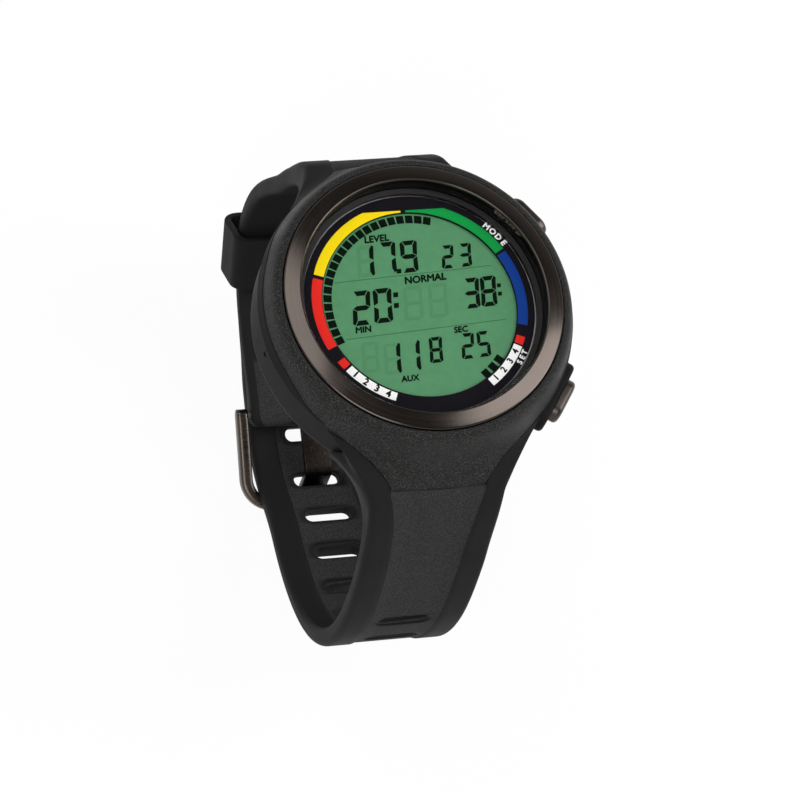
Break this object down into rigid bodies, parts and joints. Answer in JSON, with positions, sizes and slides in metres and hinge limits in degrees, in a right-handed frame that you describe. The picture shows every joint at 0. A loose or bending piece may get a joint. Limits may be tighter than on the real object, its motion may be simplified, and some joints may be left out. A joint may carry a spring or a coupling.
{
  "type": "wrist dive computer",
  "caption": "Round watch-style dive computer with a metal bezel, green segment display, side push buttons and a buckled rubber strap with a keeper.",
  "frame": {"origin": "centre of the case back's outer face", "axes": "+Z out of the display, +Y towards 12 o'clock, +X towards 3 o'clock and the buttons"},
  "size_m": [0.053, 0.0875, 0.0897],
  "materials": {
    "cover_plastic": "grained matt black",
    "shell_plastic": "smooth satin black",
    "gunmetal": "dark coated steel, satin",
    "crystal_glass": "clear, polished",
    "seal_rubber": "matt",
    "strap_rubber": "smooth matt black",
    "dial_print": "printed black",
    "display": "green reflective display",
    "frame_plastic": "moulded",
    "guide_acrylic": "clear moulded",
    "board": "green solder mask",
    "chip_plastic": "moulded black",
    "connector_rubber": "striped conductive rubber",
    "steel": "stainless",
    "brass": "machined",
    "coil": "enamelled copper wire on ferrite"
  },
  "bodies": {
    "case": {"upper_case": "cover_plastic", "lower_case": "shell_plastic", "bezel": "gunmetal", "crystal": "crystal_glass", "crystal_gasket": "seal_rubber", "dial_mask": "dial_print", "lcd_panel": "display", "lcd_holder": "frame_plastic", "light_guide": "guide_acrylic", "elastomer_connectors": "connector_rubber", "circuit_board": "board", "circuit_chips": "chip_plastic", "button_switches": "chip_plastic", "pressure_sensor": "steel", "sensor_filter": "steel", "buzzer": "brass", "antenna": "coil", "coin_cell": "steel", "battery_tray": "frame_plastic", "battery_contacts": "brass", "case_back": "shell_plastic", "case_back_gasket": "seal_rubber", "case_back_screws": "steel", "button_bushings": "brass", "button_orings": "seal_rubber", "button_springs": "steel", "strap_upper": "strap_rubber", "strap_lower": "strap_rubber", "strap_pins": "steel", "buckle_pin": "steel"},
    "upper_button": {"upper_button": "gunmetal", "upper_button_clip": "steel"},
    "lower_button": {"lower_button": "gunmetal", "lower_button_clip": "steel"},
    "hatch": {"battery_hatch": "shell_plastic", "hatch_oring": "seal_rubber"},
    "buckle": {"buckle_frame": "gunmetal"},
    "prong": {"buckle_prong": "gunmetal"},
    "keeper": {"strap_keeper": "strap_rubber"}
  },
  "joints": [
    {"name": "upper_button_press", "type": "slide", "parent": "case", "child": "upper_button", "axis": [-0.809, -0.5878, 0], "range_m": [0, 0.001], "stiffness_N_per_m": 250},
    {"name": "lower_button_press", "type": "slide", "parent": "case", "child": "lower_button", "axis": [-0.809, 0.5878, 0], "range_m": [0, 0.001], "stiffness_N_per_m": 250},
    {"name": "hatch_turn", "type": "hinge", "parent": "case", "child": "hatch", "pos_m": [0, 0, 0], "axis": [0, 0, 1], "range_deg": [0, 60]},
    {"name": "buckle_swing", "type": "hinge", "parent": "case", "child": "buckle", "pos_m": [0, 0.01252, -0.06322], "axis": [1, 0, 0], "range_deg": [0, 4]},
    {"name": "prong_swing", "type": "hinge", "parent": "case", "child": "prong", "pos_m": [0, 0.01252, -0.06322], "axis": [1, 0, 0], "range_deg": [0, 4]},
    {"name": "keeper_shift", "type": "hinge", "parent": "case", "child": "keeper", "pos_m": [0, 0.0013, -0.0241], "axis": [1, 0, 0], "range_deg": [-3, 2]}
  ],
  "couplings": [
    {"joint": "prong_swing", "follows": "buckle_swing", "ratio": 1}
  ]
}
